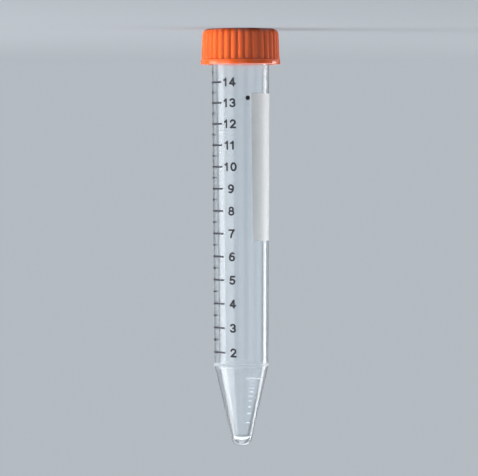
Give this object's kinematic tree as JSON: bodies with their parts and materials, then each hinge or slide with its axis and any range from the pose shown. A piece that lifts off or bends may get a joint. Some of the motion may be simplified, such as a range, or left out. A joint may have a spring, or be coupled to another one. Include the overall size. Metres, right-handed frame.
{
  "type": "15 ml conical tube",
  "caption": "Clear plastic 15 ml conical centrifuge tube with a ribbed orange plug-seal screw cap, a printed half-ml scale and a white writing patch, standing upside down on its cap.",
  "frame": {"origin": "on the surface the tube stands on, at the centre of the flat top of its cap", "axes": "the closed tube stands upside down on its cap, since its tip is round and on its side it would roll: +Z is the tube's own axis, from the cap's top up to the conical tip; -Y is the front, where the printed scale is; +X is to the right for a viewer in front, at -Y, with the cap at the bottom"},
  "size_m": [0.0228, 0.0228, 0.12],
  "materials": {
    "clear_plastic": "clear, with a faint haze",
    "orange_plastic": "moulded, satin gloss",
    "black_ink": "screen-printed ink",
    "white_ink": "screen-printed ink that takes a pen"
  },
  "bodies": {
    "cap": {"cap": "orange_plastic"},
    "tube": {"tube": "clear_plastic", "scale_print": "black_ink", "writing_patch": "white_ink"}
  },
  "joints": [
    {"name": "tube_lift", "type": "slide", "parent": "cap", "child": "tube", "axis": [0, 0, 1], "range_m": [0, 0.015]}
  ]
}
